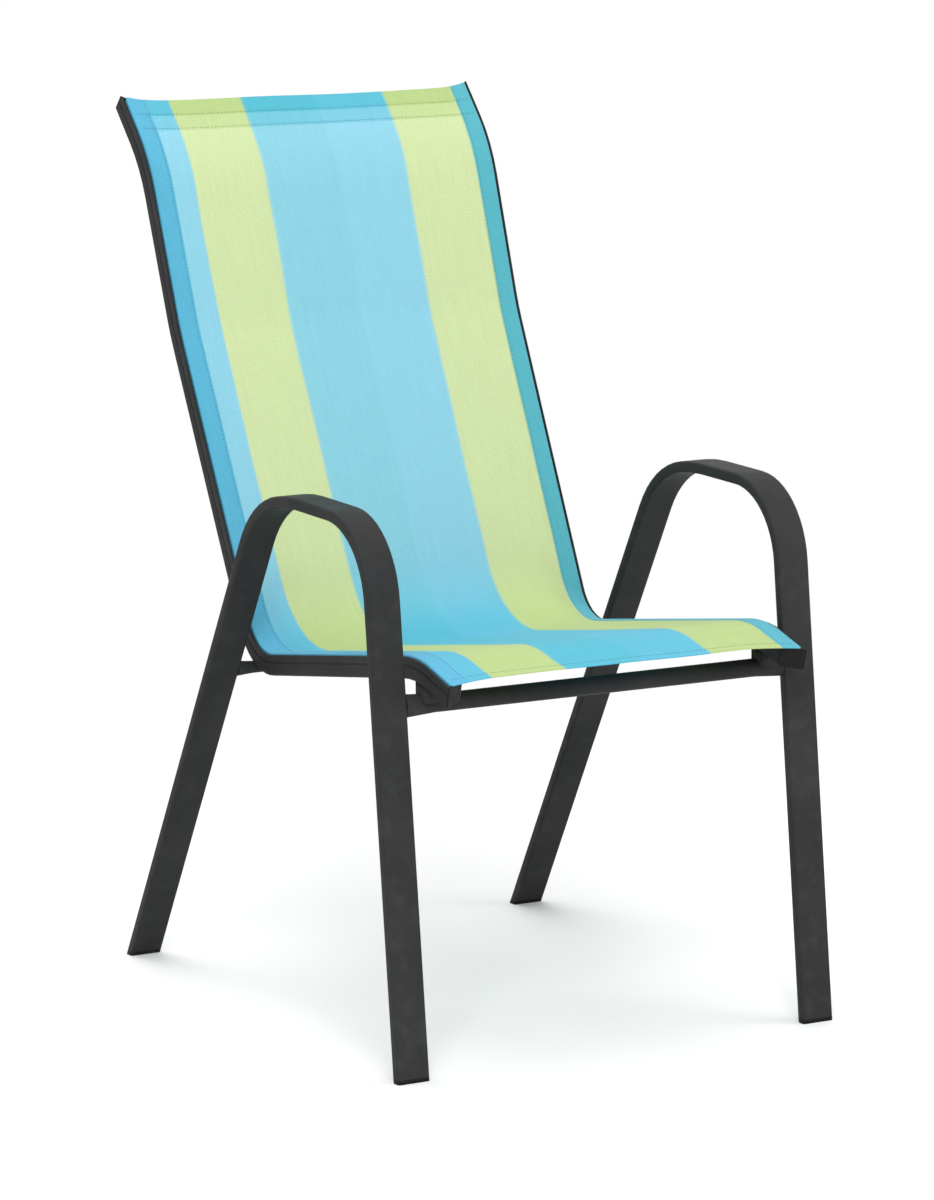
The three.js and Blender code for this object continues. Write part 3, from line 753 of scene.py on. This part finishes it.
def stripe_colour(g, u, uv):
    """The yarns' colour across the cloth. The stripes' edges interlock a little, yarn by yarn."""
    def sideways(scale, reach):
        return g.math("MULTIPLY", g.math("SUBTRACT", g.noise(scale, 1.0, uv), 0.5), reach)

    jitter = sideways(scale=1100.0, reach=0.0022)
    drift = sideways(scale=9.0, reach=0.003)
    across = g.math("ADD", u, g.math("ADD", jitter, drift))
    ramp = g.node("ShaderNodeValToRGB")
    stops = []
    for index, (start, colour) in enumerate(STRIPES):
        if index:
            stops.append((start - STRIPE_SOFTNESS, STRIPES[index - 1][1]))
        stops.append((start + STRIPE_SOFTNESS, colour))
    elements = ramp.color_ramp.elements
    while len(elements) < len(stops):
        elements.new(1.0)
    for element, (place, colour) in zip(elements, stops):
        element.position = max((place * MM + CLOTH_REACH) / (2 * CLOTH_REACH), 0)
        element.color = colour
    g.feed(ramp.inputs[0], g.span(across, -CLOTH_REACH, CLOTH_REACH))
    return ramp.outputs[0]


def cloth_coordinates(g):
    uv = g.node("ShaderNodeUVMap", uv_map="cloth").outputs["UV"]
    split = g.node("ShaderNodeSeparateXYZ")
    g.feed(split.inputs[0], uv)
    return uv, split.outputs[0], split.outputs[1]


def tinted(g, share, colour, tint):
    return g.blend(share, colour, tint, mode="MULTIPLY")


def grey(g, value):
    made = g.node("ShaderNodeCombineColor")
    for socket in made.inputs[:3]:
        g.feed(socket, value)
    return made.outputs[0]


def doubled_cloth(g, u, v):
    """1 inside the doubled hems, but less in the part of the top hem that is below its fold."""
    def within(distance, width):
        return g.span(distance, (width + HEM_LINE) * MM, (width - HEM_LINE) * MM)

    edge = g.math("SUBTRACT", EDGE_OUTER_X * MM, g.math("ABSOLUTE", u))
    to_top = g.math("SUBTRACT", LINE_LENGTH * MM, v)
    top = g.math("MULTIPLY", within(to_top, TOP_HEM), TOP_HEM_DENSITY)
    doubled = g.math("MAXIMUM", within(edge, SIDE_HEM), g.math("MAXIMUM", top, within(v, FRONT_HEM)))
    return g.math("MAXIMUM", doubled, within(to_top, TOP_HEM_FOLD))


def painted_backlight(g, colour, u, v):
    """The back's single cloth is painted paler for the light coming through it, and its doubled hems are
    painted darker as shade.
    """
    doubled = doubled_cloth(g, u, v)
    on_back = g.span(v, BACK_START, BACK_FULL, soft=True)
    single = g.math("SUBTRACT", 1.0, doubled)
    # Painted light through the single cloth, then painted shade on the doubled hems
    painted_light = g.math("MULTIPLY", single, g.math("MULTIPLY", on_back, PAINTED_LIGHT_SHARE))
    colour = g.blend(painted_light, colour, PAINTED_LIGHT_COLOUR)
    return tinted(g, g.math("MULTIPLY", doubled, on_back), colour, PAINTED_HEM_SHADE)


def weave(g, u, v):
    """The relief of a plain weave, ridges of warp and weft, and its tone: a painted shade in the gaps
    between them.
    """
    def ridges(along):
        return g.math("ABSOLUTE", g.math("SINE", g.math("MULTIPLY", along, math.pi / WEAVE_PITCH)))

    warp, weft = ridges(u), ridges(v)
    crossing = g.math("MULTIPLY", warp, weft)
    mean = g.math("MULTIPLY", g.math("ADD", warp, weft), 0.5)
    relief = g.math("ADD", mean, g.math("MULTIPLY", crossing, CROSSING_RELIEF))
    return g.span(crossing, 0.0, GAP_WIDTH, GAP_SHADE, 1.0), relief


def cloth_material():
    g = Graph("sling_weave")
    uv, u, v = cloth_coordinates(g)
    colour = painted_backlight(g, stripe_colour(g, u, uv), u, v)
    gap_shade, relief = weave(g, u, v)
    yarn = g.uneven(0.96, 1.04, scale=420.0, detail=3.0, vector=uv)
    stretched = g.node("ShaderNodeMapping")
    stretched.inputs["Scale"].default_value = WARP_STRETCH
    g.feed(stretched.inputs["Vector"], uv)
    streak = g.uneven(0.975, 1.025, scale=1.0, detail=2.0, vector=stretched.outputs[0])
    # Painted shade in the weave's gaps, times the yarns' own uneven tone
    tone = g.math("MULTIPLY", g.math("MULTIPLY", gap_shade, yarn), streak)
    g.set(Base_Color=tinted(g, 1.0, colour, grey(g, tone)))
    g.set(Roughness=g.uneven(0.62, 0.72, scale=50.0, detail=3.0, vector=uv), IOR=1.42)
    g.set(Specular_IOR_Level=0.35, Sheen_Weight=0.06, Sheen_Roughness=0.5)
    g.bump(relief, strength=0.5, distance=0.0005)
    return g.material


def thread_material():
    """The thread takes the colour of the stripe that it lies on, darkened by a painted shade of the
    stitched seam.
    """
    g = Graph("hem_thread")
    uv, u, _ = cloth_coordinates(g)
    # Painted shade along the seam, a little uneven along the thread
    seam_shade = g.uneven(0.42, 0.62, scale=2500.0, detail=2.0, vector=uv)
    g.set(Base_Color=tinted(g, 1.0, stripe_colour(g, u, uv), grey(g, seam_shade)))
    g.set(Roughness=g.uneven(0.45, 0.6, scale=1500.0, detail=2.0), Sheen_Weight=0.1)
    g.bump(g.noise(scale=2500.0), strength=0.4, distance=0.0002)
    return g.material


# ---------------------------------------------------------------- stitches

STITCH_LENGTH = 3.2
STITCH_STEP = 4.3
STITCH_RADIUS = 0.33
STITCH_SIDES = 6
STITCH_MERGE_DISTANCE = 1e-9

# Along one stitch: the share of its length, its girth as a share of the full one, and its rise
STITCH_PROFILE = [
    (0.0, 0.35, -0.3),
    (0.18, 0.9, 0.1),
    (0.5, 1.0, 0.22),
    (0.82, 0.9, 0.1),
    (1.0, 0.35, -0.3),
]

# How far off the points lie that give a stitch's direction and the face's own
AHEAD_SHARE = 0.1
ABOVE = 1.0

# How far the rows stop short of the front hem, the top and the side edges
FRONT_STOP = 2.0
TOP_STOP = 4.0
SIDE_STOP = 6.0


def stitches_in_rows():
    """The two ends of every stitch, in cloth coordinates: both side hems, then the rows across."""
    side_u = EDGE_OUTER_X - SIDE_HEM + STITCH_INSIDE
    for side in (-1, 1):
        for start in np.arange(FRONT_HEM + FRONT_STOP, LINE_LENGTH - TOP_STOP, STITCH_STEP):
            yield (side * side_u, start), (side * side_u, start + STITCH_LENGTH)
    ends = EDGE_OUTER_X - SIDE_STOP
    for v in (FRONT_HEM - STITCH_INSIDE, LINE_LENGTH - TOP_HEM + STITCH_INSIDE,
              LINE_LENGTH - TOP_HEM_FOLD + STITCH_INSIDE):
        for start in np.arange(-ends, ends, STITCH_STEP):
            yield (start, v), (start + STITCH_LENGTH, v)


def on_face(u, v, rise):
    """The height, above the rails' front faces, of a point that is a rise above the cloth's face."""
    u, v = np.array([float(u)]), np.array([float(v)])
    return face_over(u, v) + panel_lift(u, v) + rise


def stitch_ring(first, last, share, girth, rise):
    """One ring of points round a stitch, and its place on the flat cloth."""
    (u0, v0), (u1, v1) = first, last
    u, v = u0 + (u1 - u0) * share, v0 + (v1 - v0) * share
    height = on_face(u, v, rise)

    def place(at_u, at_v, at_height):
        return cloth_point(np.array([at_u]), np.array([at_v]), at_height)[0]

    here = place(u, v, height)
    out = Vector(place(u, v, height + ABOVE) - here).normalized()
    next_u, next_v = u + (u1 - u0) * AHEAD_SHARE, v + (v1 - v0) * AHEAD_SHARE
    ahead = Vector(place(next_u, next_v, height) - here).normalized()
    side = ahead.cross(out).normalized()
    points = []
    for k in range(STITCH_SIDES):
        angle = 2 * math.pi * k / STITCH_SIDES
        spoke = (side * math.cos(angle) + out * math.sin(angle)) * STITCH_RADIUS * girth * MM
        points.append(Vector(here) + spoke)
    return points, (u * MM, v * MM)


def stitch_faces(base):
    """The skin of one stitch, whose points start at base: bands between its rings and both ends."""
    rings = len(STITCH_PROFILE)
    faces = []
    for ring in range(rings - 1):
        for k in range(STITCH_SIDES):
            a = base + ring * STITCH_SIDES + k
            b = base + ring * STITCH_SIDES + (k + 1) % STITCH_SIDES
            faces.append((a, b, b + STITCH_SIDES, a + STITCH_SIDES))
    faces.append(tuple(base + k for k in range(STITCH_SIDES))[::-1])
    faces.append(tuple(base + (rings - 1) * STITCH_SIDES + k for k in range(STITCH_SIDES)))
    return faces


def build_stitches():
    verts, faces, flat = [], [], []
    for first, last in stitches_in_rows():
        faces += stitch_faces(len(verts))
        for share, girth, rise in STITCH_PROFILE:
            points, spot = stitch_ring(first, last, share, girth, rise)
            verts += points
            flat += [spot] * STITCH_SIDES
    return mesh_piece("hem_stitches", verts, faces, flat, STITCH_MERGE_DISTANCE)


# ---------------------------------------------------------------- assembly

WELD_DISTANCE = 2e-5
NORMAL_WEIGHT = 80


def smooth_node(node, material):
    """A CAD node keeps its mesh; modifiers join its facets' corners and even out its shading."""
    node.data.materials.clear()
    node.data.materials.append(material)
    node.data.polygons.foreach_set("use_smooth", [True] * len(node.data.polygons))
    weld = node.modifiers.new("join", "WELD")
    weld.merge_threshold = WELD_DISTANCE
    even = node.modifiers.new("even", "WEIGHTED_NORMAL")
    even.mode = "FACE_AREA_WITH_ANGLE"
    even.weight = NORMAL_WEIGHT
    even.keep_sharp = False


def dress_nodes():
    """The solids that show as they are get the finishes of coated steel, plastic and rod."""
    coat, plastic, rod = powder_coat(), moulded_plastic(), extruded_rod()
    for name, node in nodes.items():
        if name == "sling":
            continue
        if "cap" in name or "glide" in name:
            smooth_node(node, plastic)
        elif "rod" in name:
            smooth_node(node, rod)
        else:
            smooth_node(node, coat)


scene.view_settings.view_transform = "Standard"
make_camera()
make_world()
make_floor()
for name, (place, aim, side, power) in LIGHTS.items():
    area_light(name, place, aim, side, power)
dress_nodes()

sling = build_sling()
sling.data.materials.append(cloth_material())
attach(sling, "root")
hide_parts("sling")

stitches = build_stitches()
stitches.data.materials.append(thread_material())
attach(stitches, "root")
